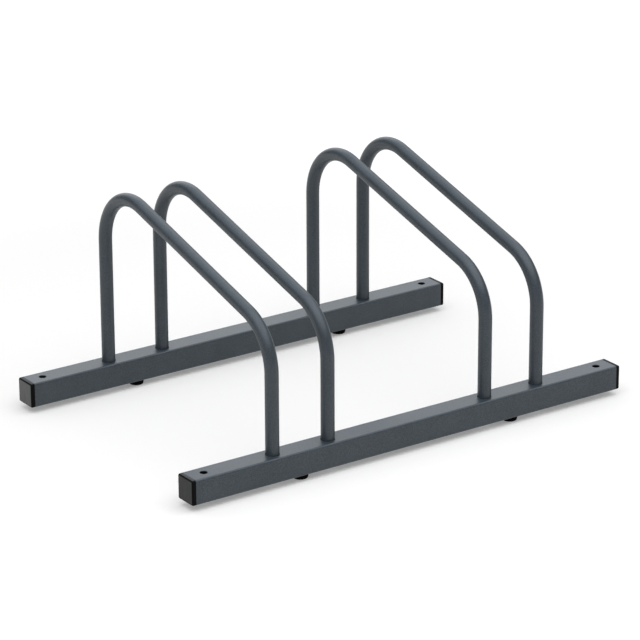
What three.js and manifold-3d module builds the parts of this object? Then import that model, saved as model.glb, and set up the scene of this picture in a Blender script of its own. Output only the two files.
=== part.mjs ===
// A floor-standing hoop bike rack for two bikes. Two square rails lie on rubber feet, one in front and one behind.
// Four hoops of bent round tube stand in them in two pairs, and a wheel goes into the slot between the two hoops
// of a pair. Each leg passes through the top wall of its rail, stands on the bottom wall and is pulled down there
// by a screw from below. Millimetres, +X along the rails, +Y from the front rail to the rear one, +Z up.
// The origin is on the floor, under the middle of the rack.

import * as THREE from "three";
import { mergeVertices } from "three/addons/utils/BufferGeometryUtils.js";
import Module from "manifold-3d";

const wasm = await Module();
wasm.setup();

// Rails
const railSide = 30;
const railWall = 1.5;
const railCornerRadius = 2.5;
const railLength = 592;
const railSpacing = 349;

// Anchor holes, one near each rail end, through the top and bottom walls
const anchorHoleDiameter = 9;
const anchorHoleInset = 19.5;

// Hoops: the rise is the straight part of the rear leg above the rail
const hoopDiameter = 16;
const hoopWall = 1.2;
const hoopPairPitch = 296;
const hoopPairSpacing = 75;
const rearLegRise = 152.5;
const rearBendRadius = 65;
const frontBendRadius = 63;
const slopeDegrees = 15.3;

// Threaded plugs in the leg ends, and the screws that hold the legs
const legPlugLength = 18;
const legPlugChamfer = 0.8;
const screwDiameter = 6;
const screwLength = 16;
const screwTipChamfer = 0.6;
const screwHeadDiameter = 10.5;
const screwHeadHeight = 3.3;
const screwKeyWidth = 4;
const screwKeyDepth = 2;

// End caps: a flange over the end of the tube, and a hollow plug with ribs inside it
const capFlangeThickness = 5;
const capEdgeRadius = 2;
const capPlugDepth = 12;
const capPlugWall = 1.6;
const capRibHeight = 1;
const capRibThickness = 1.2;
const capRibCount = 3;

// Feet: a tapered button under the rail, a neck through its wall and a barb above it
const footHeight = 7.6;
const footTopDiameter = 20;
const footBottomDiameter = 17.5;
const footEdgeRadius = 1.5;
const footNeckDiameter = 7.4;
const footBarbDiameter = 10.4;
const footBarbTipDiameter = 5;
const footBarbHeight = 6;

// Clearance all round between pieces that fit into each other, and how far a cut runs past what it cuts
const fitGap = 0.3;
const cutOverrun = 3;

// Faceting: the sides of a round section, and the turn of one step round a bend
const tubeSides = 20;
const smallSides = 12;
const footSides = 16;
const railCornerSteps = 4;
const plugCornerSteps = 2;
const bendStepDegrees = 9;

// Shares of a button head: where its dome ends, as a turn of the quarter ellipse
const domeEndShare = 0.7;
const domeSteps = 3;

// Sizes and places that follow from the ones above
const railBottom = footHeight;
const railMiddle = railBottom + railSide / 2;
const railTop = railBottom + railSide;
const legSeat = railBottom + railWall;
const rearRailY = railSpacing / 2;
const frontRailY = -railSpacing / 2;
const cavitySide = railSide - 2 * railWall;
const cavityCornerRadius = Math.max(railCornerRadius - railWall, fitGap);
const legHoleDiameter = hoopDiameter + 2 * fitGap;
const screwHoleDiameter = screwDiameter + 2 * fitGap;
const footHoleDiameter = footNeckDiameter + 2 * fitGap;
const anchorHoleX = railLength / 2 - anchorHoleInset;
const legPlugDiameter = hoopDiameter - 2 * hoopWall - 2 * fitGap;

const rails = [
  { name: "front", y: frontRailY },
  { name: "rear", y: rearRailY },
];
const ends = [
  { name: "left", side: -1 },
  { name: "right", side: 1 },
];
const hoopPlaces = ends.flatMap(({ name, side }) => [
  { name: `${name}_outer`, x: (side * (hoopPairPitch + hoopPairSpacing)) / 2 },
  { name: `${name}_inner`, x: (side * (hoopPairPitch - hoopPairSpacing)) / 2 },
]);

// Materials
const powderCoat = () => new THREE.MeshStandardMaterial({ color: 0x353e45, roughness: 0.4, metalness: 0 });
const capPlastic = () => new THREE.MeshStandardMaterial({ color: 0x232425, roughness: 0.55, metalness: 0 });
const footRubber = () => new THREE.MeshStandardMaterial({ color: 0x121213, roughness: 0.8, metalness: 0 });
const zincSteel = () => new THREE.MeshStandardMaterial({ color: 0xb4b7ba, roughness: 0.35, metalness: 1 });

// A closed geometry as a solid that can be joined and cut.
function toSolid(geometry) {
  const bare = geometry.clone();
  bare.deleteAttribute("normal");
  bare.deleteAttribute("uv");
  const merged = mergeVertices(bare);
  return new wasm.Manifold(
    new wasm.Mesh({
      numProp: 3,
      vertProperties: merged.attributes.position.array,
      triVerts: new Uint32Array(merged.index.array),
    }),
  );
}

function toGeometry(solid) {
  const { vertProperties, triVerts } = solid.getMesh();
  const geometry = new THREE.BufferGeometry();
  geometry.setAttribute("position", new THREE.BufferAttribute(vertProperties, 3));
  geometry.setIndex(new THREE.BufferAttribute(triVerts, 1));
  geometry.computeVertexNormals();
  return geometry;
}

function cutFrom(geometry, cutters) {
  return toGeometry(cutters.reduce((solid, cutter) => solid.subtract(toSolid(cutter)), toSolid(geometry)));
}

function join(geometries) {
  return toGeometry(geometries.map(toSolid).reduce((joined, solid) => joined.add(solid)));
}

function circle(diameter, sides) {
  return Array.from({ length: sides }, (_, i) => {
    const turn = (2 * Math.PI * i) / sides;
    return new THREE.Vector2(Math.cos(turn), Math.sin(turn)).multiplyScalar(diameter / 2);
  });
}

// A square with round corners, centred on zero.
function roundedSquare(side, radius) {
  const centre = side / 2 - radius;
  const shape = new THREE.Shape();
  for (let corner = 0; corner < 4; corner += 1) {
    const start = (corner * Math.PI) / 2;
    const middle = start + Math.PI / 4;
    const x = Math.sign(Math.cos(middle)) * centre;
    const y = Math.sign(Math.sin(middle)) * centre;
    shape.absarc(x, y, radius, start, start + Math.PI / 2, false);
  }
  shape.closePath();
  return shape;
}

// A square tube or ring along +Z from zero. An arc is cut into twice as many steps as curveSegments says.
function squareRing(outerSide, outerRadius, innerSide, innerRadius, depth, cornerSteps) {
  const shape = roundedSquare(outerSide, outerRadius);
  shape.holes.push(roundedSquare(innerSide, innerRadius));
  return new THREE.ExtrudeGeometry(shape, { depth, bevelEnabled: false, curveSegments: cornerSteps / 2 });
}

// A solid of revolution about Z: the profile gives [radius, height] from its lowest point up.
function revolve(profile, sides) {
  const points = profile.map(([radius, height]) => new THREE.Vector2(radius, height));
  return new THREE.LatheGeometry(points, sides).rotateX(Math.PI / 2);
}

// A cutter for an upright round hole between two heights.
function drill(diameter, sides, x, low, high) {
  const cutter = new THREE.CylinderGeometry(diameter / 2, diameter / 2, high - low, sides);
  return cutter.rotateX(Math.PI / 2).translate(x, 0, (low + high) / 2);
}

// A rail along X, centred on zero in X and Y and at its real height.
function makeRail() {
  const tube = squareRing(railSide, railCornerRadius, cavitySide, cavityCornerRadius, railLength, railCornerSteps);
  tube.translate(0, 0, -railLength / 2).rotateY(Math.PI / 2).translate(0, 0, railMiddle);
  const above = railTop + cutOverrun;
  const below = railBottom - cutOverrun;
  const legHoles = hoopPlaces.map(({ x }) => drill(legHoleDiameter, tubeSides, x, railMiddle, above));
  const screwHoles = hoopPlaces.map(({ x }) => drill(screwHoleDiameter, smallSides, x, below, railMiddle));
  const anchorHoles = ends.map(({ side }) => drill(anchorHoleDiameter, footSides, side * anchorHoleX, below, above));
  const footHoles = ends.map(({ side }) => {
    return drill(footHoleDiameter, footSides, (side * hoopPairPitch) / 2, below, railMiddle);
  });
  return cutFrom(tube, [...legHoles, ...screwHoles, ...anchorHoles, ...footHoles]);
}

// A path that is given only by its stations, each with its point and its direction.
class StationPath extends THREE.Curve {
  constructor(stations) {
    super();
    this.stations = stations;
  }

  stationAt(t) {
    return this.stations[Math.round(t * (this.stations.length - 1))];
  }

  getPoint(t) {
    return this.stationAt(t).point.clone();
  }

  getTangent(t) {
    return this.stationAt(t).direction.clone();
  }

  // Stations are counted off evenly, however far apart they lie.
  getUtoTmapping(u) {
    return u;
  }
}

// The centreline of a hoop in its upright plane. The heading is 0 going up the rear leg, a quarter turn where the
// tube runs level towards the front, and a half turn going down the front leg.
function hoopStations() {
  const slope = THREE.MathUtils.degToRad(slopeDegrees);
  const quarterTurn = Math.PI / 2;
  const slopeHeading = quarterTurn + slope;
  const rear = { y: rearRailY - rearBendRadius, z: railTop + rearLegRise, radius: rearBendRadius };
  const front = { y: frontRailY + frontBendRadius, radius: frontBendRadius };
  const radiusDrop = rear.radius - front.radius;
  const slopeLength = (rear.y - front.y + radiusDrop * Math.cos(slopeHeading)) / Math.cos(slope);
  front.z = rear.z + radiusDrop * Math.sin(slopeHeading) - slopeLength * Math.sin(slope);

  const stations = [];
  const addStation = (y, z, heading) => {
    const point = new THREE.Vector3(0, y, z);
    const direction = new THREE.Vector3(0, -Math.sin(heading), Math.cos(heading));
    stations.push({ point, direction });
  };
  const addBend = ({ y, z, radius }, from, to) => {
    const steps = Math.max(1, Math.round(THREE.MathUtils.radToDeg(to - from) / bendStepDegrees));
    for (let i = 0; i <= steps; i += 1) {
      const heading = from + ((to - from) * i) / steps;
      addStation(y + radius * Math.cos(heading), z + radius * Math.sin(heading), heading);
    }
  };

  addStation(rearRailY, legSeat, 0);
  addBend(rear, 0, quarterTurn);
  stations.pop();
  addBend(rear, quarterTurn, slopeHeading);
  addBend(front, slopeHeading, Math.PI);
  addStation(frontRailY, legSeat, Math.PI);
  return stations;
}

// A round tube bent along the centreline, open at both leg ends.
function makeHoop() {
  const section = new THREE.Shape(circle(hoopDiameter, tubeSides));
  section.holes.push(new THREE.Path(circle(hoopDiameter - 2 * hoopWall, smallSides)));
  const stations = hoopStations();
  return new THREE.ExtrudeGeometry(section, {
    steps: stations.length - 1,
    bevelEnabled: false,
    extrudePath: new StationPath(stations),
  });
}

// A threaded plug, with its foot at zero and its bore open at both ends.
function makeLegPlug() {
  const bore = screwHoleDiameter / 2;
  const outer = legPlugDiameter / 2;
  const chamfered = outer - legPlugChamfer;
  const profile = [
    [bore, 0],
    [chamfered, 0],
    [outer, legPlugChamfer],
    [outer, legPlugLength - legPlugChamfer],
    [chamfered, legPlugLength],
    [bore, legPlugLength],
    [bore, 0],
  ];
  return revolve(profile, smallSides);
}

// A button head screw, head down, with the underside of its head at zero.
function makeScrew() {
  const shank = screwDiameter / 2;
  const domeEnd = (domeEndShare * Math.PI) / 2;
  const dome = Array.from({ length: domeSteps + 1 }, (_, i) => {
    const turn = (domeEnd * (domeSteps - i)) / domeSteps;
    const height = (-screwHeadHeight * Math.sin(turn)) / Math.sin(domeEnd);
    return [(screwHeadDiameter / 2) * Math.cos(turn), height];
  });
  const profile = [
    [0, -screwHeadHeight],
    ...dome,
    [shank, 0],
    [shank, screwLength - screwTipChamfer],
    [shank - screwTipChamfer, screwLength],
    [0, screwLength],
  ];
  const keyDiameter = (2 * screwKeyWidth) / Math.sqrt(3);
  const key = drill(keyDiameter, 6, 0, -screwHeadHeight - cutOverrun, screwKeyDepth - screwHeadHeight);
  return cutFrom(revolve(profile, smallSides), [key]);
}

// An end cap, with the face that meets the tube's end at zero and its flange towards +X.
function makeEndCap() {
  const ribSide = cavitySide - 2 * fitGap;
  const plugSide = ribSide - 2 * capRibHeight;
  const hollowSide = plugSide - 2 * capPlugWall;

  // The flange is the outer half of a pad whose edges are rounded on both faces.
  const pad = new THREE.ExtrudeGeometry(roundedSquare(railSide, railCornerRadius), {
    depth: 2 * (capFlangeThickness - capEdgeRadius),
    bevelThickness: capEdgeRadius,
    bevelSize: capEdgeRadius,
    bevelOffset: -capEdgeRadius,
    bevelSegments: 3,
    curveSegments: railCornerSteps / 2,
  }).translate(0, 0, capEdgeRadius - capFlangeThickness);
  const innerHalf = new THREE.BoxGeometry(2 * railSide, 2 * railSide, 2 * capFlangeThickness);
  const flange = cutFrom(pad, [innerHalf.translate(0, 0, -capFlangeThickness)]);

  const insideRing = (outerSide, innerSide, depth) => {
    return squareRing(outerSide, cavityCornerRadius, innerSide, cavityCornerRadius, depth, plugCornerSteps);
  };
  const rootDepth = capFlangeThickness / 2;
  const plug = insideRing(plugSide, hollowSide, capPlugDepth + rootDepth).translate(0, 0, -capPlugDepth);
  const ribs = Array.from({ length: capRibCount }, (_, i) => {
    const depth = (capPlugDepth * (i + 1)) / (capRibCount + 1);
    const rib = insideRing(ribSide, plugSide - capPlugWall, capRibThickness);
    return rib.translate(0, 0, -depth - capRibThickness / 2);
  });
  return join([flange, plug, ...ribs]).rotateY(Math.PI / 2);
}

// A push-in foot, with its flat sole at zero.
function makeFoot() {
  const sole = footBottomDiameter / 2;
  const neck = footNeckDiameter / 2;
  const edge = [0, 1, 2, 3].map((i) => {
    const turn = (i * Math.PI) / 6;
    return [sole - footEdgeRadius * (1 - Math.sin(turn)), footEdgeRadius * (1 - Math.cos(turn))];
  });
  const barbSeat = footHeight + railWall + fitGap;
  const profile = [
    [0, 0],
    ...edge,
    [footTopDiameter / 2, footHeight],
    [neck, footHeight],
    [neck, barbSeat],
    [footBarbDiameter / 2, barbSeat],
    [footBarbTipDiameter / 2, barbSeat + footBarbHeight],
    [0, barbSeat + footBarbHeight],
  ];
  return revolve(profile, footSides);
}

const rack = new THREE.Group();

function place(name, geometry, material, x, y, z) {
  const mesh = new THREE.Mesh(geometry, material());
  mesh.name = name;
  mesh.position.set(x, y, z);
  rack.add(mesh);
  return mesh;
}

const railGeometry = makeRail();
const hoopGeometry = makeHoop();
const legPlugGeometry = makeLegPlug();
const screwGeometry = makeScrew();
const capGeometry = makeEndCap();
const footGeometry = makeFoot();

for (const { name, x } of hoopPlaces) {
  place(`hoop_${name}`, hoopGeometry, powderCoat, x, 0, 0);
}

for (const { name: railName, y } of rails) {
  place(`rail_${railName}`, railGeometry, powderCoat, 0, y, 0);
  for (const { name, x } of hoopPlaces) {
    place(`leg_plug_${railName}_${name}`, legPlugGeometry, zincSteel, x, y, legSeat);
    place(`leg_screw_${railName}_${name}`, screwGeometry, zincSteel, x, y, railBottom);
  }
  for (const { name, side } of ends) {
    const cap = place(`end_cap_${railName}_${name}`, capGeometry, capPlastic, (side * railLength) / 2, y, railMiddle);
    cap.rotation.z = side > 0 ? 0 : Math.PI;
    place(`foot_${railName}_${name}`, footGeometry, footRubber, (side * hoopPairPitch) / 2, y, 0);
  }
}

export default rack;
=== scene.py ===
import math

import bpy
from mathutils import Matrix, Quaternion, Vector


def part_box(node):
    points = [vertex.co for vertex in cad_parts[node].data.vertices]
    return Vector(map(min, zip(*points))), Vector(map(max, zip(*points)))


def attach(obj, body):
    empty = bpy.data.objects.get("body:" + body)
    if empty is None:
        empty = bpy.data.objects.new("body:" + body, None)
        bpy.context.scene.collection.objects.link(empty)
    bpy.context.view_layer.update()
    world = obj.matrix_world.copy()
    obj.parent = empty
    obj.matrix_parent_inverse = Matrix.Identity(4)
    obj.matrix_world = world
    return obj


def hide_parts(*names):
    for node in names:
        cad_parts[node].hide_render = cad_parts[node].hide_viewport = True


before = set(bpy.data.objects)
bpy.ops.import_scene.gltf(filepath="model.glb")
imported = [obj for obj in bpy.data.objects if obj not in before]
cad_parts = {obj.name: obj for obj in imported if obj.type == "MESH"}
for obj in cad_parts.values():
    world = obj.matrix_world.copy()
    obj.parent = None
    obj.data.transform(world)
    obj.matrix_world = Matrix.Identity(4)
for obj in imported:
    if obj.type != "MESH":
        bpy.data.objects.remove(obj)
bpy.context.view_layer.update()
scene = bpy.context.scene
millimetre = 0.001
print("frame:", len(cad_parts), "nodes")


# Node trees

class Wire:
    # A socket that can be used in sums. Each sign adds a Math node.
    def __init__(self, nodes, socket):
        self.nodes = nodes
        self.socket = socket

    def maths(self, operation, first, second):
        return self.nodes.add("ShaderNodeMath", {"operation": operation}, {0: first, 1: second})

    def __add__(self, other):
        return self.maths("ADD", self, other)

    def __radd__(self, other):
        return self.maths("ADD", other, self)

    def __sub__(self, other):
        return self.maths("SUBTRACT", self, other)

    def __rsub__(self, other):
        return self.maths("SUBTRACT", other, self)

    def __mul__(self, other):
        return self.maths("MULTIPLY", self, other)

    def __rmul__(self, other):
        return self.maths("MULTIPLY", other, self)

    def __gt__(self, other):
        return self.maths("GREATER_THAN", self, other)


class Nodes:
    # Adds nodes to one tree: a type, its settings, and the values or wires of its sockets.
    def __init__(self, tree):
        self.tree = tree
        tree.nodes.clear()

    def add(self, kind, settings=None, sockets=None, output=0):
        node = self.tree.nodes.new(kind)
        for name, value in (settings or {}).items():
            if name == "stops":
                self.setStops(node.color_ramp, value)
            else:
                setattr(node, name, value)
        for key, value in (sockets or {}).items():
            for item in value if isinstance(value, list) else [value]:  # a list is several wires
                if isinstance(item, Wire):
                    self.tree.links.new(item.socket, node.inputs[key])
                else:
                    node.inputs[key].default_value = item
        return Wire(self, node.outputs[output]) if len(node.outputs) else None

    def setStops(self, ramp, stops):
        for element, (position, grey) in zip(ramp.elements, stops):
            element.position = position
            element.color = (grey, grey, grey, 1)

    def ramp(self, value, low, high):
        # Zero up to low, one from high on, and a straight rise between them.
        return self.add("ShaderNodeValToRGB", {"stops": [(low, 0), (high, 1)]}, {"Fac": value})

    def rise(self, value, low, high, top=1.0):
        # Zero up to low, top from high on, and a smooth rise between them.
        return self.add("ShaderNodeMapRange", {"interpolation_type": "SMOOTHSTEP"}, {
            "Value": value,
            "From Min": low,
            "From Max": high,
            "To Max": top,
        })

    def mixColours(self, factor, first, second):
        # A Mix node's colours share their names with its other sockets, so they go by number.
        return self.add("ShaderNodeMix", {"data_type": "RGBA"}, {0: factor, 6: first, 7: second}, output=2)

    def point(self, x=0.0, y=0.0, z=0.0):
        return self.add("ShaderNodeCombineXYZ", None, {"X": x, "Y": y, "Z": z})

    def axis(self, vector, name):
        return self.add("ShaderNodeSeparateXYZ", None, {"Vector": vector}, output=name)


# Materials

def newMaterial(name):
    material = bpy.data.materials.new(name)
    material.use_nodes = True
    return material, Nodes(material.node_tree)


def noise(nodes, size, detail=2.0, stretch=None):
    # Lumps about as wide as size. A small stretch makes them long on that axis.
    where = nodes.add("ShaderNodeTexCoord", output="Object")
    if stretch:
        where = nodes.add("ShaderNodeVectorMath", {"operation": "MULTIPLY"}, {0: where, 1: stretch})
    return nodes.add("ShaderNodeTexNoise", None, {"Vector": where, "Scale": 1 / size, "Detail": detail})


def relief(nodes, height, depth):
    # A bump as deep as depth where height goes from zero to one.
    return nodes.add("ShaderNodeBump", None, {"Distance": depth, "Height": height})


def finishMaterial(nodes, sockets):
    surface = nodes.add("ShaderNodeBsdfPrincipled", None, sockets)
    nodes.add("ShaderNodeOutputMaterial", None, {"Surface": surface})


coatLook = {
    "dark": (0.017, 0.025, 0.033, 1),
    "pale": (0.049, 0.064, 0.078, 1),
    "roughness": 0.39,
    "cloudRoughness": 0.04,
    "specular": 0.45,
    "speckle": 0.9 * millimetre,
    "speckleFrom": 0.36,
    "speckleTo": 0.64,
    "speckleShare": 0.75,
    "speckleReliefShare": 0.12,
    "cloud": 32 * millimetre,
    "cloudFrom": 0.3,
    "cloudTo": 0.7,
    "peel": 1.6 * millimetre,
    "peelHeight": 0.035 * millimetre,
}


def powderCoat():
    # A satin coat: fine dark and pale grains, faint clouds, and the low waves of melted powder.
    material, nodes = newMaterial("anthracite_powder_coat")
    speckleNoise = noise(nodes, coatLook["speckle"], detail=3.0)
    speckle = nodes.ramp(speckleNoise, coatLook["speckleFrom"], coatLook["speckleTo"])
    cloud = nodes.ramp(noise(nodes, coatLook["cloud"]), coatLook["cloudFrom"], coatLook["cloudTo"])
    shade = speckle * coatLook["speckleShare"] + cloud * (1 - coatLook["speckleShare"])
    peel = noise(nodes, coatLook["peel"], detail=1.0)
    waves = peel + speckle * coatLook["speckleReliefShare"]
    finishMaterial(nodes, {
        "Base Color": nodes.mixColours(shade, coatLook["dark"], coatLook["pale"]),
        "Roughness": coatLook["roughness"] + cloud * coatLook["cloudRoughness"],
        "Specular IOR Level": coatLook["specular"],
        "Normal": relief(nodes, waves, coatLook["peelHeight"]),
    })
    return material


capLook = {
    # face is lighter than side, and the rubbed grey is the end face's painted reflection of the floor; the
    # plastic itself is as dark as side.
    "face": (0.022, 0.022, 0.023, 1),
    "paintedFaceSheen": (0.17, 0.172, 0.174, 1),
    "side": (0.003, 0.003, 0.0032, 1),
    # The dust grey is a painted sheen on the top, standing in for the light the top reflects.
    "paintedTopSheen": (0.06, 0.062, 0.064, 1),
    "faceRoughness": 0.62,
    "sideRoughness": 0.5,
    "grainRoughness": 0.08,
    "specular": 0.06,
    "faceFrom": 0.96,
    "faceTo": 0.998,
    "topFrom": 0.88,
    "topTo": 0.99,
    "topSheenGain": 4.2,
    "streak": 1.3 * millimetre,
    "streakStretch": 0.08,
    "evenFaceSheen": 0.3,
    "grainFaceSheen": 0.4,
    "grain": 0.35 * millimetre,
    "grainHeight": 0.02 * millimetre,
}


def capPlastic():
    # Moulded plastic with a fine spark grain. The end face is lighter than the sides and grey in faint
    # upright streaks, a painted reflection, and the top has a painted sheen; a share given for each cap sets
    # how much of both it gets.
    material, nodes = newMaterial("black_cap_plastic")
    normal = nodes.add("ShaderNodeNewGeometry", output="Normal")
    facing = nodes.add("ShaderNodeMath", {"operation": "ABSOLUTE"}, {0: nodes.axis(normal, "X")})
    face = nodes.ramp(facing, capLook["faceFrom"], capLook["faceTo"])
    top = nodes.ramp(nodes.axis(normal, "Z"), capLook["topFrom"], capLook["topTo"])
    # Each cap's share of painted reflection and painted sheen.
    wear = nodes.add("ShaderNodeAttribute", {"attribute_name": "wear"}, output="Fac")
    streak = noise(nodes, capLook["streak"], detail=3.0, stretch=(1, 1, capLook["streakStretch"]))
    grain = noise(nodes, capLook["grain"])
    # Painted reflection on the end face, in faint upright streaks.
    faceSheenAmount = (streak + grain * capLook["grainFaceSheen"] + capLook["evenFaceSheen"]) * wear
    paintedFaceSheen = nodes.mixColours(faceSheenAmount, capLook["face"], capLook["paintedFaceSheen"])
    # Painted sheen on the top, standing in for the light it reflects from above.
    topSheenAmount = nodes.add("ShaderNodeMath", {"operation": "MINIMUM"}, {0: wear * capLook["topSheenGain"], 1: 1.0})
    plain = nodes.mixColours(top * topSheenAmount, capLook["side"], capLook["paintedTopSheen"])
    roughness = capLook["sideRoughness"] + face * (capLook["faceRoughness"] - capLook["sideRoughness"])
    finishMaterial(nodes, {
        "Base Color": nodes.mixColours(face, plain, paintedFaceSheen),
        "Roughness": roughness + grain * capLook["grainRoughness"],
        "Specular IOR Level": capLook["specular"],
        "Normal": relief(nodes, grain, capLook["grainHeight"]),
    })
    return material


rubberLook = {
    "colour": (0.001, 0.001, 0.001, 1),
    "bloomColour": (0.003, 0.003, 0.0028, 1),
    "bloom": 4 * millimetre,
    "roughness": 0.7,
    "bloomRoughness": 0.15,
    "specular": 0.05,
    "grain": 0.5 * millimetre,
    "grainHeight": 0.03 * millimetre,
}


def footRubber():
    # Soft black rubber, matt, with a trace of bloom.
    material, nodes = newMaterial("black_foot_rubber")
    bloom = noise(nodes, rubberLook["bloom"], detail=4.0)
    grain = noise(nodes, rubberLook["grain"], detail=3.0)
    finishMaterial(nodes, {
        "Base Color": nodes.mixColours(bloom, rubberLook["colour"], rubberLook["bloomColour"]),
        "Roughness": rubberLook["roughness"] + bloom * rubberLook["bloomRoughness"],
        "Specular IOR Level": rubberLook["specular"],
        "Normal": relief(nodes, grain, rubberLook["grainHeight"]),
    })
    return material


zincLook = {
    "dull": (0.48, 0.49, 0.5, 1),
    "bright": (0.62, 0.63, 0.66, 1),
    "patch": 1.8 * millimetre,
    "roughness": 0.26,
    "patchRoughness": 0.16,
}


def zincSteel():
    # Zinc plate over steel: small dull and bright patches.
    material, nodes = newMaterial("zinc_plated_steel")
    patch = noise(nodes, zincLook["patch"], detail=3.0)
    finishMaterial(nodes, {
        "Base Color": nodes.mixColours(patch, zincLook["dull"], zincLook["bright"]),
        "Metallic": 1.0,
        "Roughness": zincLook["roughness"] + patch * zincLook["patchRoughness"],
    })
    return material


finishes = {
    "powder_coat": powderCoat(),
    "cap_plastic": capPlastic(),
    "foot_rubber": footRubber(),
    "zinc_steel": zincSteel(),
}
print("materials:", ", ".join(finishes))


# Pieces

sharpAngle = math.radians(35)


def smoothPiece(piece):
    # Smooth where the surface turns slowly, and sharp where it turns by more than the sharp angle.
    piece.data.shade_smooth()
    piece.data.set_sharp_from_angle(angle=sharpAngle)


def settlePiece(piece, nodeNames):
    # On the rack's one body, in place of its plain solids.
    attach(piece, "root")
    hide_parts(*nodeNames)


def newObject(name, data):
    made = bpy.data.objects.new(name, data)
    scene.collection.objects.link(made)
    return made


def geometryTree(name, inputs):
    # An empty geometry tree, and its named inputs as wires.
    tree = bpy.data.node_groups.new(name, "GeometryNodeTree")
    tree.interface.new_socket("Geometry", in_out="OUTPUT", socket_type="NodeSocketGeometry")
    for label, kind in inputs.items():
        tree.interface.new_socket(label, in_out="INPUT", socket_type="NodeSocket" + kind)
    nodes = Nodes(tree)
    entry = tree.nodes.new("NodeGroupInput")
    return tree, nodes, {label: Wire(nodes, entry.outputs[label]) for label in inputs}


def endTree(nodes, geometry, finish):
    plain = nodes.add("GeometryNodeRealizeInstances", None, {"Geometry": geometry})
    painted = nodes.add("GeometryNodeSetMaterial", None, {"Geometry": plain, "Material": finish})
    nodes.add("NodeGroupOutput", None, {"Geometry": painted})


def growPiece(name, tree, values, modifiers=()):
    # Runs a geometry tree with these values, then the other modifiers, and keeps the plain mesh.
    piece = newObject(name, bpy.data.meshes.new(name))
    shape = piece.modifiers.new("shape", "NODES")
    shape.node_group = tree
    for item in tree.interface.items_tree:
        if item.in_out == "INPUT":
            shape[item.identifier] = values[item.name]
    for kind, settings in modifiers:
        modifier = piece.modifiers.new(kind.lower(), kind)
        for key, value in settings.items():
            setattr(modifier, key, value)
    graph = bpy.context.evaluated_depsgraph_get()
    grown = piece.evaluated_get(graph)
    mesh = bpy.data.meshes.new_from_object(grown, preserve_all_data_layers=True, depsgraph=graph)
    piece.modifiers.clear()
    piece.data = mesh
    while mesh.materials[0] is None:  # an empty slot that a boolean leaves
        mesh.materials.pop(index=0)
    return piece


def loftMesh(name, rings, finish):
    # Quads between neighbouring rings, and a flat face over the first and the last.
    sides = len(rings[0])
    points = [point for ring in rings for point in ring]
    faces = [tuple(range(sides))[::-1]]
    for low in range(0, (len(rings) - 1) * sides, sides):
        for i in range(sides):
            j = (i + 1) % sides
            faces.append((low + i, low + j, low + sides + j, low + sides + i))
    faces.append(tuple(range(len(points) - sides, len(points))))
    mesh = bpy.data.meshes.new(name)
    mesh.from_pydata(points, [], faces)
    mesh.materials.append(finish)
    return mesh


def roundRing(radius, height, sides):
    turns = [2 * math.pi * i / sides for i in range(sides)]
    return [(radius * math.cos(turn), radius * math.sin(turn), height) for turn in turns]


def squareRing(half, radius, height, cornerSteps):
    # A square with round corners about the Z axis.
    ring = []
    for corner in range(4):
        middle = math.pi / 2 * (corner + 0.5)
        centreX = math.copysign(half - radius, math.cos(middle))
        centreY = math.copysign(half - radius, math.sin(middle))
        for i in range(cornerSteps + 1):
            turn = math.pi / 2 * (corner + i / cornerSteps)
            ring.append((centreX + radius * math.cos(turn), centreY + radius * math.sin(turn), height))
    return ring


def quarterArc(steps):
    # Sines and cosines from zero to a quarter turn.
    turns = [math.pi / 2 * i / steps for i in range(steps + 1)]
    return [(math.sin(turn), math.cos(turn)) for turn in turns]


railBox = {name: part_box("rail_" + name) for name in ("front", "rear")}
railLow, railHigh = railBox["front"]
railSide = railHigh.z - railLow.z
railLength = railHigh.x - railLow.x
railMiddleHeight = (railLow.z + railHigh.z) / 2
railY = {name: (low.y + high.y) / 2 for name, (low, high) in railBox.items()}
railSpacing = railY["rear"] - railY["front"]
railWall = 1.5 * millimetre
fitGap = 0.3 * millimetre
endSides = {"left": -1, "right": 1}

hoopNames = ("left_outer", "left_inner", "right_inner", "right_outer")
hoopBox = {name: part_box("hoop_" + name) for name in hoopNames}
hoopX = {name: (low.x + high.x) / 2 for name, (low, high) in hoopBox.items()}
hoopLow, hoopHigh = hoopBox["right_outer"]
tubeDiameter = hoopHigh.x - hoopLow.x
pairSpacing = hoopX["right_outer"] - hoopX["right_inner"]
pairPitch = hoopX["right_outer"] + hoopX["right_inner"]


hoop = {
    "rearBend": 65 * millimetre,
    "frontBend": 63 * millimetre,
    "slope": math.radians(15.3),
    "wall": 1.2 * millimetre,
    "bendSteps": 40,
    "sides": 72,
}


def hoopTree():
    # Four corner points, rounded to the two bends, with a round section swept along them.
    tree, nodes, given = geometryTree("bent hoop", {
        "Place": "Float",
        "Rear Leg": "Float",
        "Front Leg": "Float",
        "Seat": "Float",
        "Rear Corner": "Float",
        "Front Corner": "Float",
        "Rear Bend": "Float",
        "Front Bend": "Float",
        "Bend Steps": "Int",
        "Tube Radius": "Float",
        "Sides": "Int",
    })
    place = given["Place"]
    corners = nodes.add("GeometryNodeCurvePrimitiveQuadrilateral", {"mode": "POINTS"}, {
        "Point 1": nodes.point(place, given["Rear Leg"], given["Seat"]),
        "Point 2": nodes.point(place, given["Rear Leg"], given["Rear Corner"]),
        "Point 3": nodes.point(place, given["Front Leg"], given["Front Corner"]),
        "Point 4": nodes.point(place, given["Front Leg"], given["Seat"]),
    })
    path = nodes.add("GeometryNodeSetSplineCyclic", None, {"Geometry": corners, "Cyclic": False})
    isFront = nodes.add("GeometryNodeInputIndex") > 1  # points 0 and 1 are the rear leg's
    bent = nodes.add("GeometryNodeFilletCurve", {"mode": "POLY"}, {
        "Curve": path,
        "Radius": given["Rear Bend"] * (1 - isFront) + given["Front Bend"] * isFront,
        "Count": given["Bend Steps"],
    })
    section = nodes.add("GeometryNodeCurvePrimitiveCircle", None, {
        "Resolution": given["Sides"],
        "Radius": given["Tube Radius"],
    })
    tube = nodes.add("GeometryNodeCurveToMesh", None, {"Curve": bent, "Profile Curve": section})
    endTree(nodes, tube, finishes["powder_coat"])
    return tree


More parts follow.
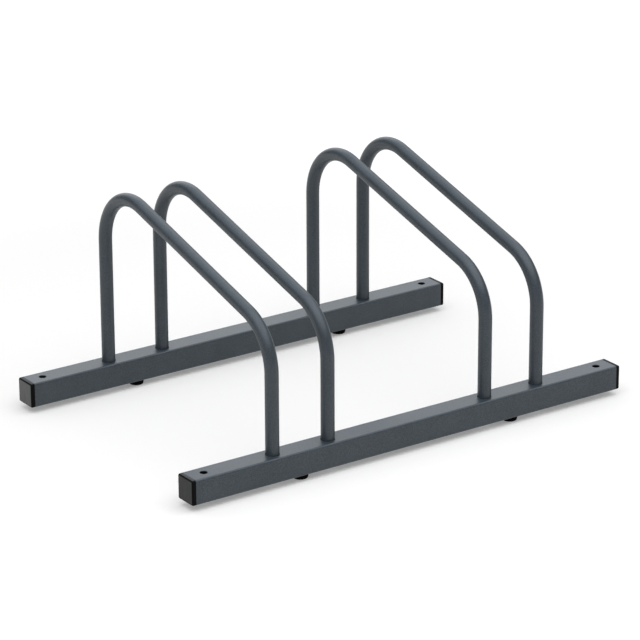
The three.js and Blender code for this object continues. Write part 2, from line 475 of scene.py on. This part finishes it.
def makeHoops():
    tree = hoopTree()
    # The bend's centre is one radius below its top, and the corner is a tangent's length above the centre.
    bendTop = hoopHigh.z - tubeDiameter / 2
    turn = math.pi / 2 + hoop["slope"]
    rearCorner = bendTop - hoop["rearBend"] + hoop["rearBend"] * math.tan(turn / 2)
    wall = ("SOLIDIFY", {"thickness": hoop["wall"], "offset": -1})
    for name in hoopNames:
        piece = growPiece("bent_hoop_" + name, tree, {
            "Place": hoopX[name],
            "Rear Leg": railY["rear"],
            "Front Leg": railY["front"],
            "Seat": hoopLow.z,
            "Rear Corner": rearCorner,
            "Front Corner": rearCorner - railSpacing * math.tan(hoop["slope"]),
            "Rear Bend": hoop["rearBend"],
            "Front Bend": hoop["frontBend"],
            "Bend Steps": hoop["bendSteps"],
            "Tube Radius": tubeDiameter / 2,
            "Sides": hoop["sides"],
        }, [wall])
        smoothPiece(piece)
        settlePiece(piece, ["hoop_" + name])


makeHoops()
print("hoops: done")


rail = {
    "cornerRadius": 2.5 * millimetre,
    "cornerSteps": 10,
    "anchorHole": 9 * millimetre,
    "anchorInset": 19.5 * millimetre,
    "screwHole": 6.6 * millimetre,
    "footHole": 8 * millimetre,
    "holeSides": 64,
    "boreLengthShare": 1.1,
    "rimRadius": 0.35 * millimetre,
    "rimSteps": 3,
    "rimAngle": math.radians(40),
    "flatFaceWeight": 100,
}


def railTree():
    # A square tube with its holes cut: leg holes in the top wall, screw and foot holes in the bottom wall,
    # and anchor holes through both.
    tree, nodes, given = geometryTree("drilled rail", {
        "Length": "Float",
        "Side": "Float",
        "Wall": "Float",
        "Corner Radius": "Float",
        "Corner Steps": "Int",
        "Pair Pitch": "Float",
        "Pair Spacing": "Float",
        "Anchor Place": "Float",
        "Leg Hole": "Float",
        "Screw Hole": "Float",
        "Foot Hole": "Float",
        "Anchor Hole": "Float",
        "Hole Sides": "Int",
        "Middle": "Vector",
    })

    def squareBar(side, radius, length):
        square = nodes.add("GeometryNodeCurvePrimitiveQuadrilateral", None, {"Width": side, "Height": side})
        outline = nodes.add("GeometryNodeFilletCurve", {"mode": "POLY"}, {
            "Curve": square,
            "Radius": radius,
            "Count": given["Corner Steps"],
        })
        path = nodes.add("GeometryNodeCurvePrimitiveLine", None, {
            "Start": nodes.point(length * -0.5),
            "End": nodes.point(length * 0.5),
        })
        return nodes.add("GeometryNodeCurveToMesh", None, {
            "Curve": path,
            "Profile Curve": outline,
            "Fill Caps": True,
        })

    def twoPlaces(distance):
        return nodes.add("GeometryNodeMeshLine", None, {
            "Count": 2,
            "Start Location": nodes.point(distance * -0.5),
            "Offset": nodes.point(distance),
        })

    def drills(places, diameter, low, high):
        # Upright cutters at these places, from low to high as heights over the rail's middle.
        cutter = nodes.add("GeometryNodeMeshCylinder", None, {
            "Vertices": given["Hole Sides"],
            "Radius": diameter * 0.5,
            "Depth": high - low,
        })
        raised = nodes.add("GeometryNodeTransform", None, {
            "Geometry": cutter,
            "Translation": nodes.point(z=(high + low) * 0.5),
        })
        return nodes.add("GeometryNodeInstanceOnPoints", None, {"Points": places, "Instance": raised})

    pairs = twoPlaces(given["Pair Pitch"])
    legs = nodes.add("GeometryNodeRealizeInstances", None, {
        "Geometry": nodes.add("GeometryNodeInstanceOnPoints", None, {
            "Points": pairs,
            "Instance": twoPlaces(given["Pair Spacing"]),
        }),
    })
    anchors = twoPlaces(given["Anchor Place"] * 2.0)
    boreSide = given["Side"] - given["Wall"] * 2.0
    boreLength = given["Length"] * rail["boreLengthShare"]
    above = given["Side"]
    below = given["Side"] * -1.0
    drilled = nodes.add("GeometryNodeMeshBoolean", {"operation": "DIFFERENCE", "solver": "EXACT"}, {
        "Mesh 1": squareBar(given["Side"], given["Corner Radius"], given["Length"]),
        "Mesh 2": [
            squareBar(boreSide, given["Corner Radius"] - given["Wall"], boreLength),
            drills(legs, given["Leg Hole"], 0.0, above),
            drills(legs, given["Screw Hole"], below, 0.0),
            drills(pairs, given["Foot Hole"], below, 0.0),
            drills(anchors, given["Anchor Hole"], below, above),
        ],
    })
    placed = nodes.add("GeometryNodeTransform", None, {"Geometry": drilled, "Translation": given["Middle"]})
    endTree(nodes, placed, finishes["powder_coat"])
    return tree


def makeRails():
    tree = railTree()
    softRims = ("BEVEL", {
        "width": rail["rimRadius"],
        "segments": rail["rimSteps"],
        "limit_method": "ANGLE",
        "angle_limit": rail["rimAngle"],
    })
    evenShade = ("WEIGHTED_NORMAL", {"weight": rail["flatFaceWeight"], "keep_sharp": True})
    for name, y in railY.items():
        piece = growPiece("square_rail_" + name, tree, {
            "Length": railLength,
            "Side": railSide,
            "Wall": railWall,
            "Corner Radius": rail["cornerRadius"],
            "Corner Steps": rail["cornerSteps"],
            "Pair Pitch": pairPitch,
            "Pair Spacing": pairSpacing,
            "Anchor Place": railLength / 2 - rail["anchorInset"],
            "Leg Hole": tubeDiameter + 2 * fitGap,
            "Screw Hole": rail["screwHole"],
            "Foot Hole": rail["footHole"],
            "Anchor Hole": rail["anchorHole"],
            "Hole Sides": rail["holeSides"],
            "Middle": (0, y, railMiddleHeight),
        }, [softRims, evenShade])
        settlePiece(piece, ["rail_" + name])


makeRails()
print("rails: done")


cap = {
    "flange": 5 * millimetre,
    "edgeRadius": 2 * millimetre,
    "edgeSteps": 8,
    "seatRadius": 0.3 * millimetre,
    "seatSteps": 3,
    "plugDepth": 12 * millimetre,
    "plugWall": 1.6 * millimetre,
    "ribHeight": 1 * millimetre,
    "ribThickness": 1.2 * millimetre,
    "ribCount": 3,
    "cornerSteps": 10,
    # How much painted reflection and painted sheen each cap gets: more where that cap reflects more light.
    "wear": {"front_left": 0.24, "front_right": 0.06, "rear_left": 0.73, "rear_right": 0.09},
}


def capProfile():
    # [half side, corner radius, height] from the end face, round the flange, down the ribbed plug and up its
    # hollow.
    half = railSide / 2
    corner = rail["cornerRadius"]
    edge = cap["edgeRadius"]
    seat = cap["seatRadius"]
    inside = max(corner - railWall, seat)
    ribHalf = half - railWall - fitGap
    plugHalf = ribHalf - cap["ribHeight"]
    hollowHalf = plugHalf - cap["plugWall"]
    profile = []
    for sine, cosine in quarterArc(cap["edgeSteps"])[::-1]:
        inset = edge - edge * cosine
        profile.append((half - inset, corner - inset, cap["flange"] - edge + edge * sine))
    for sine, cosine in quarterArc(cap["seatSteps"]):
        inset = seat - seat * cosine
        profile.append((half - inset, corner - inset, seat - seat * sine))
    profile.append((plugHalf, inside, 0))
    for i in range(cap["ribCount"]):
        middle = -cap["plugDepth"] * (i + 1) / (cap["ribCount"] + 1)
        top = middle + cap["ribThickness"] / 2
        bottom = middle - cap["ribThickness"] / 2
        for reach, height in ((plugHalf, top), (ribHalf, top), (ribHalf, bottom), (plugHalf, bottom)):
            profile.append((reach, inside, height))
    for reach, height in ((plugHalf, -cap["plugDepth"]), (hollowHalf, -cap["plugDepth"]), (hollowHalf, 0)):
        profile.append((reach, inside, height))
    return profile


def makeCaps():
    rings = [squareRing(half, radius, height, cap["cornerSteps"]) for half, radius, height in capProfile()]
    for railName, y in railY.items():
        for endName, side in endSides.items():
            name = railName + "_" + endName
            mesh = loftMesh("square_cap_" + name, rings[::-1], finishes["cap_plastic"])
            outward = Quaternion((0, 1, 0), side * math.pi / 2).to_matrix().to_4x4()
            outward.translation = (side * railLength / 2, y, railMiddleHeight)
            mesh.transform(outward)
            # The cap's share of painted sheen, kept as a point attribute for its material.
            wear = mesh.attributes.new("wear", "FLOAT", "POINT")
            wear.data.foreach_set("value", [cap["wear"][name]] * len(mesh.vertices))
            piece = newObject(mesh.name, mesh)
            smoothPiece(piece)
            settlePiece(piece, ["end_cap_" + name])


makeCaps()
print("end caps: done")


foot = {
    "topDiameter": 20 * millimetre,
    "topRadius": 0.4 * millimetre,
    "topSteps": 4,
    "soleDiameter": 17.5 * millimetre,
    "soleRadius": 1.5 * millimetre,
    "soleSteps": 10,
    "neckDiameter": 7.4 * millimetre,
    "barbDiameter": 10.4 * millimetre,
    "barbHeight": 6 * millimetre,
    "tipDiameter": 5 * millimetre,
    "sides": 80,
}


def footProfile():
    # [radius, height] from the sole up to the tip of the barb.
    height = railLow.z
    sole = foot["soleDiameter"] / 2
    top = foot["topDiameter"] / 2
    edge = foot["soleRadius"]
    rim = foot["topRadius"]
    neck = foot["neckDiameter"] / 2
    seat = height + railWall + fitGap
    soleArc = quarterArc(foot["soleSteps"])
    topArc = quarterArc(foot["topSteps"])
    profile = [(sole - edge + edge * sine, edge - edge * cosine) for sine, cosine in soleArc]
    profile += [(top - rim + rim * cosine, height - rim + rim * sine) for sine, cosine in topArc]
    profile += [(neck, height), (neck, seat), (foot["barbDiameter"] / 2, seat)]
    profile += [(foot["tipDiameter"] / 2, seat + foot["barbHeight"])]
    return profile


def makeFeet():
    rings = [roundRing(radius, height, foot["sides"]) for radius, height in footProfile()]
    for railName, y in railY.items():
        for endName, side in endSides.items():
            name = railName + "_" + endName
            mesh = loftMesh("rubber_foot_" + name, rings, finishes["foot_rubber"])
            for vertex in mesh.vertices:
                vertex.co += Vector((side * pairPitch / 2, y, 0))
            piece = newObject(mesh.name, mesh)
            smoothPiece(piece)
            settlePiece(piece, ["foot_" + name])


makeFeet()
print("feet: done")


screw = {
    "headDiameter": 10.5 * millimetre,
    "headHeight": 3.3 * millimetre,
    "rim": 0.35 * millimetre,
    "domeShare": 0.62,
    "domeSteps": 8,
    "socketWidth": 4 * millimetre,
    "socketDepth": 2 * millimetre,
    "socketChamfer": 0.1 * millimetre,
    "socketConeShare": 0.2,
    "diameter": 6 * millimetre,
    "pitch": 1 * millimetre,
    "threadDepth": 0.6 * millimetre,
    "length": 16 * millimetre,
    "plainNeck": 1 * millimetre,
    "ringsPerTurn": 6,
    "sides": 48,
}


def hexRing(width, height, sides):
    # A hexagon that has as many points as a round ring, with corners on some of them.
    ring = []
    for i in range(sides):
        turn = 2 * math.pi * i / sides
        offFlat = turn % (math.pi / 3) - math.pi / 6
        reach = width / 2 / math.cos(offFlat)
        ring.append((reach * math.cos(turn), reach * math.sin(turn), height))
    return ring


def threadRing(height, sides):
    # One ring of a screw thread: its radius rises and falls with the turn, so that the ridge climbs.
    ring = []
    for i in range(sides):
        turn = 2 * math.pi * i / sides
        phase = (height / screw["pitch"] - i / sides) % 1
        depth = screw["threadDepth"] * abs(2 * phase - 1)
        radius = screw["diameter"] / 2 - depth
        ring.append((radius * math.cos(turn), radius * math.sin(turn), height))
    return ring


def screwMesh():
    # A button head screw with a hexagon socket, head down, with the underside of its head at zero.
    sides = screw["sides"]
    head = screw["headDiameter"] / 2
    core = screw["diameter"] / 2 - screw["threadDepth"]
    low = -screw["headHeight"]
    chamfer = screw["socketChamfer"]
    socketFloor = low + screw["socketDepth"]
    cone = screw["socketWidth"] * screw["socketConeShare"]
    rings = [
        hexRing(cone, socketFloor + cone, sides),
        hexRing(screw["socketWidth"], socketFloor, sides),
        hexRing(screw["socketWidth"], low + chamfer, sides),
        hexRing(screw["socketWidth"] + 2 * chamfer, low, sides),
    ]
    domeTurn = screw["domeShare"] * math.pi / 2
    domeHeight = screw["headHeight"] - screw["rim"]
    for i in range(screw["domeSteps"] + 1):
        turn = domeTurn * (1 - i / screw["domeSteps"])
        drop = screw["rim"] + domeHeight * math.sin(turn) / math.sin(domeTurn)
        rings.append(roundRing(head * math.cos(turn), -drop, sides))
    rings.append(roundRing(head, 0, sides))
    rings.append(roundRing(core, 0, sides))
    rings.append(roundRing(core, screw["plainNeck"], sides))
    threadLength = screw["length"] - screw["plainNeck"] - screw["threadDepth"]
    threadRings = int(threadLength / screw["pitch"] * screw["ringsPerTurn"])
    for i in range(1, threadRings):
        rings.append(threadRing(screw["plainNeck"] + threadLength * i / threadRings, sides))
    rings.append(roundRing(core, screw["length"] - screw["threadDepth"], sides))
    rings.append(roundRing(core - screw["threadDepth"], screw["length"], sides))
    return loftMesh("button_screw", rings, finishes["zinc_steel"])


def screwTree():
    # A screw under each leg: two rails, two pairs on each, two legs in a pair.
    tree, nodes, given = geometryTree("leg screws", {
        "Screw": "Object",
        "Rail Spacing": "Float",
        "Pair Pitch": "Float",
        "Pair Spacing": "Float",
        "Seat": "Float",
    })

    def twice(instance, x=0.0, y=0.0, z=0.0):
        # Two copies, as far apart as x and y say, about a middle at height z.
        line = nodes.add("GeometryNodeMeshLine", None, {
            "Count": 2,
            "Start Location": nodes.point(x * -0.5, y * -0.5, z),
            "Offset": nodes.point(x, y),
        })
        return nodes.add("GeometryNodeInstanceOnPoints", None, {"Points": line, "Instance": instance})

    one = nodes.add("GeometryNodeObjectInfo", None, {"Object": given["Screw"]}, output="Geometry")
    pair = twice(one, x=given["Pair Spacing"])
    row = twice(pair, x=given["Pair Pitch"])
    both = twice(row, y=given["Rail Spacing"], z=given["Seat"])
    endTree(nodes, both, finishes["zinc_steel"])
    return tree


def makeScrews():
    pattern = newObject("screw_pattern", screwMesh())
    piece = growPiece("leg_screws", screwTree(), {
        "Screw": pattern,
        "Rail Spacing": railSpacing,
        "Pair Pitch": pairPitch,
        "Pair Spacing": pairSpacing,
        "Seat": railLow.z,
    })
    bpy.data.objects.remove(pattern)
    names = ["leg_screw_" + railName + "_" + hoopName for railName in railY for hoopName in hoopNames]
    smoothPiece(piece)
    settlePiece(piece, names)


makeScrews()
print("screws: done")


def paintLegPlugs():
    # The plugs in the leg ends keep their plain solids and get the plated finish.
    for name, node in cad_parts.items():
        if name.startswith("leg_plug"):
            for slot in node.material_slots:
                slot.material = finishes["zinc_steel"]


paintLegPlugs()
print("leg plugs: painted")


# Studio

def lightPaths(nodes):
    # One for the rays that look straight at a surface, in gloss and through glass, and zero for all others.
    kinds = ("Is Camera Ray", "Is Glossy Ray", "Is Transmission Ray")
    return [nodes.add("ShaderNodeLightPath", output=kind) for kind in kinds]


floor = {
    "size": 40,
    "grey": 0.8,
    "cloudGrey": 0.808,
    "cloud": 0.6,
    "nearLift": 0.208,
    "farLift": 0.6,
    "farFrom": 0.6,
    "farTo": 1.6,
}


def makeFloor():
    # A pale floor, lifted to white for the rays that show it, the more the farther it is from the rack.
    def grey(level):
        return level, level, level, 1

    material, nodes = newMaterial("pale_floor")
    straight, gloss, through = lightPaths(nodes)
    cloud = noise(nodes, floor["cloud"])
    colour = nodes.mixColours(cloud, grey(floor["grey"]), grey(floor["cloudGrey"]))
    where = nodes.add("ShaderNodeTexCoord", output="Object")
    away = nodes.add("ShaderNodeVectorMath", {"operation": "LENGTH"}, {0: where}, output="Value")
    far = nodes.rise(away, floor["farFrom"], floor["farTo"])
    glow = nodes.mixColours(far, grey(floor["nearLift"]), grey(floor["farLift"]))
    diffuse = nodes.add("ShaderNodeBsdfDiffuse", None, {"Color": colour})
    lift = nodes.add("ShaderNodeEmission", None, {"Color": glow, "Strength": straight + gloss + through})
    surface = nodes.add("ShaderNodeAddShader", None, {0: diffuse, 1: lift})
    nodes.add("ShaderNodeOutputMaterial", None, {"Surface": surface})
    half = floor["size"] / 2
    corners = [(-half, -half, 0), (half, -half, 0), (half, half, 0), (-half, half, 0)]
    mesh = bpy.data.meshes.new("floor")
    mesh.from_pydata(corners, [], [(0, 1, 2, 3)])
    mesh.materials.append(material)
    newObject("floor", mesh)


sky = {
    "fill": 0.6,
    "low": 0.15,
    "lowTilt": 0.8,
    "left": 0.4,
    "leftFrom": 0.4,
    "leftTo": 0.9,
    "high": 1.58,
    "highTint": (0.92, 1.0, 1.09, 1),
    "highFrom": 0.42,
    "highTo": 0.66,
    "glow": 1.66,
    "glowTint": (0.97, 1.0, 1.03, 1),
    "glowPlace": (0.36, 0.86, 0.36),
    "glowFrom": 0.8,
}


def makeSky():
    # Straight and through glass the wall is white, and it fills the room with an even light. In gloss it is
    # dark low down and brighter to the right, with soft light at the far left, a wide panel high up, and a
    # glow low behind the rack.
    world = bpy.data.worlds.new("studio")
    world.use_nodes = True
    scene.world = world
    nodes = Nodes(world.node_tree)
    straight, gloss, through = lightPaths(nodes)
    direction = nodes.add("ShaderNodeTexCoord", output="Generated")
    across = nodes.axis(direction, "X")
    up = nodes.axis(direction, "Z")
    toGlow = {0: direction, 1: sky["glowPlace"]}
    near = nodes.add("ShaderNodeVectorMath", {"operation": "DOT_PRODUCT"}, toGlow, output="Value")
    low = sky["low"] * (1 + across * sky["lowTilt"])
    left = nodes.rise(across * -1, sky["leftFrom"], sky["leftTo"], sky["left"])
    high = nodes.rise(up, sky["highFrom"], sky["highTo"], sky["high"])
    glow = nodes.rise(near, sky["glowFrom"], 1.0, sky["glow"])
    spread = 1 - (straight + gloss + through)
    wall = straight + through + gloss * (low + left) + spread * sky["fill"]
    shader = nodes.add("ShaderNodeBackground", None, {"Color": (1, 1, 1, 1), "Strength": wall})
    for tint, strength in ((sky["highTint"], high), (sky["glowTint"], glow)):
        light = nodes.add("ShaderNodeBackground", None, {"Color": tint, "Strength": gloss * strength})
        shader = nodes.add("ShaderNodeAddShader", None, {0: shader, 1: light})
    nodes.add("ShaderNodeOutputWorld", None, {"Surface": shader})


lamp = {
    "width": 5,
    "depth": 3.2,
    "place": (-0.15, -0.82, 2.65),
    "power": 55.5,
}


def makeLamp():
    # A large oval lamp high over the front of the rack, aimed at its middle on the floor.
    light = bpy.data.lights.new("overhead", "AREA")
    light.shape = "ELLIPSE"
    light.size = lamp["width"]
    light.size_y = lamp["depth"]
    light.energy = lamp["power"]
    hung = newObject("overhead", light)
    hung.location = lamp["place"]
    hung.rotation_mode = "QUATERNION"
    hung.rotation_quaternion = hung.location.to_track_quat("Z", "Y")


photoCamera = {
    "aim": (0.012296, 0.017675, 0.09424),
    "azimuth": math.radians(-34.62),
    "elevation": math.radians(20.705),
    "roll": math.radians(-0.22),
    "distance": 4.0448,
    "lens": 192.66,
    "sensorWidth": 36,
    "farthest": 100,
}


def makeCamera():
    # The photograph's view: the turns and the distance place the camera round the point that it looks at.
    data = bpy.data.cameras.new("camera")
    data.lens = photoCamera["lens"]
    data.sensor_width = photoCamera["sensorWidth"]
    data.clip_end = photoCamera["farthest"]
    azimuth, elevation = photoCamera["azimuth"], photoCamera["elevation"]
    back = Vector((
        math.sin(azimuth) * math.cos(elevation),
        -math.cos(azimuth) * math.cos(elevation),
        math.sin(elevation),
    ))
    roll = Quaternion((0, 0, 1), photoCamera["roll"])
    camera = newObject("camera", data)
    camera.rotation_mode = "QUATERNION"
    camera.rotation_quaternion = (-back).to_track_quat("-Z", "Y") @ roll
    camera.location = Vector(photoCamera["aim"]) + back * photoCamera["distance"]
    scene.camera = camera


makeFloor()
makeSky()
makeLamp()
makeCamera()
scene.view_settings.view_transform = "Standard"
print("studio: done")
